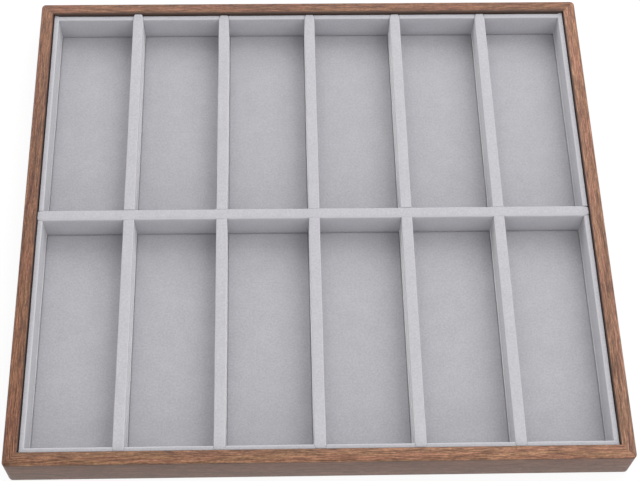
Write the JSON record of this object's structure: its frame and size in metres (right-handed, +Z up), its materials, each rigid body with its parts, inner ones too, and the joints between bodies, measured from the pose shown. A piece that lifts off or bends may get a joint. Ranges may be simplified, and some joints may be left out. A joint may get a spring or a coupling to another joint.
{
  "type": "glasses storage box",
  "caption": "Shallow open tray with a mitred wood-grain frame and a lift-out velvet insert, divided by a half-lapped grid into long compartments for glasses.",
  "frame": {"origin": "middle of the tray's footprint, on the surface that it stands on", "axes": "+X across the columns of compartments, to the right in the picture; +Y along the compartments, from the front rail to the back rail; +Z up"},
  "size_m": [0.4, 0.36, 0.0285],
  "materials": {
    "walnut_veneer": "satin walnut-grain veneer",
    "grey_velvet": "short-pile light grey velvet",
    "dark_felt": "dark felt",
    "fibreboard": "raw fibreboard",
    "greyboard": "raw greyboard"
  },
  "bodies": {
    "frame": {"frame_rail_front": "walnut_veneer", "frame_rail_back": "walnut_veneer", "frame_rail_left": "walnut_veneer", "frame_rail_right": "walnut_veneer", "base_board": "fibreboard", "underside_lining": "dark_felt"},
    "insert_tray": {"floor_board": "greyboard", "floor_velvet": "grey_velvet", "wall_liner_front_1": "grey_velvet", "wall_liner_front_2": "grey_velvet", "wall_liner_front_3": "grey_velvet", "wall_liner_front_4": "grey_velvet", "wall_liner_front_5": "grey_velvet", "wall_liner_front_6": "grey_velvet", "wall_liner_back_1": "grey_velvet", "wall_liner_back_2": "grey_velvet", "wall_liner_back_3": "grey_velvet", "wall_liner_back_4": "grey_velvet", "wall_liner_back_5": "grey_velvet", "wall_liner_back_6": "grey_velvet", "wall_liner_left_front": "grey_velvet", "wall_liner_left_back": "grey_velvet", "wall_liner_right_front": "grey_velvet", "wall_liner_right_back": "grey_velvet"},
    "divider_grid": {"long_divider_core_1": "fibreboard", "long_divider_core_2": "fibreboard", "long_divider_core_3": "fibreboard", "long_divider_core_4": "fibreboard", "long_divider_core_5": "fibreboard", "long_divider_velvet_1": "grey_velvet", "long_divider_velvet_2": "grey_velvet", "long_divider_velvet_3": "grey_velvet", "long_divider_velvet_4": "grey_velvet", "long_divider_velvet_5": "grey_velvet", "cross_divider_core": "fibreboard", "cross_divider_velvet": "grey_velvet"}
  },
  "joints": [
    {"name": "insert_lift", "type": "slide", "parent": "frame", "child": "insert_tray", "axis": [0, 0, 1], "range_m": [0, 0.035]},
    {"name": "grid_lift", "type": "slide", "parent": "insert_tray", "child": "divider_grid", "axis": [0, 0, 1], "range_m": [0, 0.035]}
  ]
}
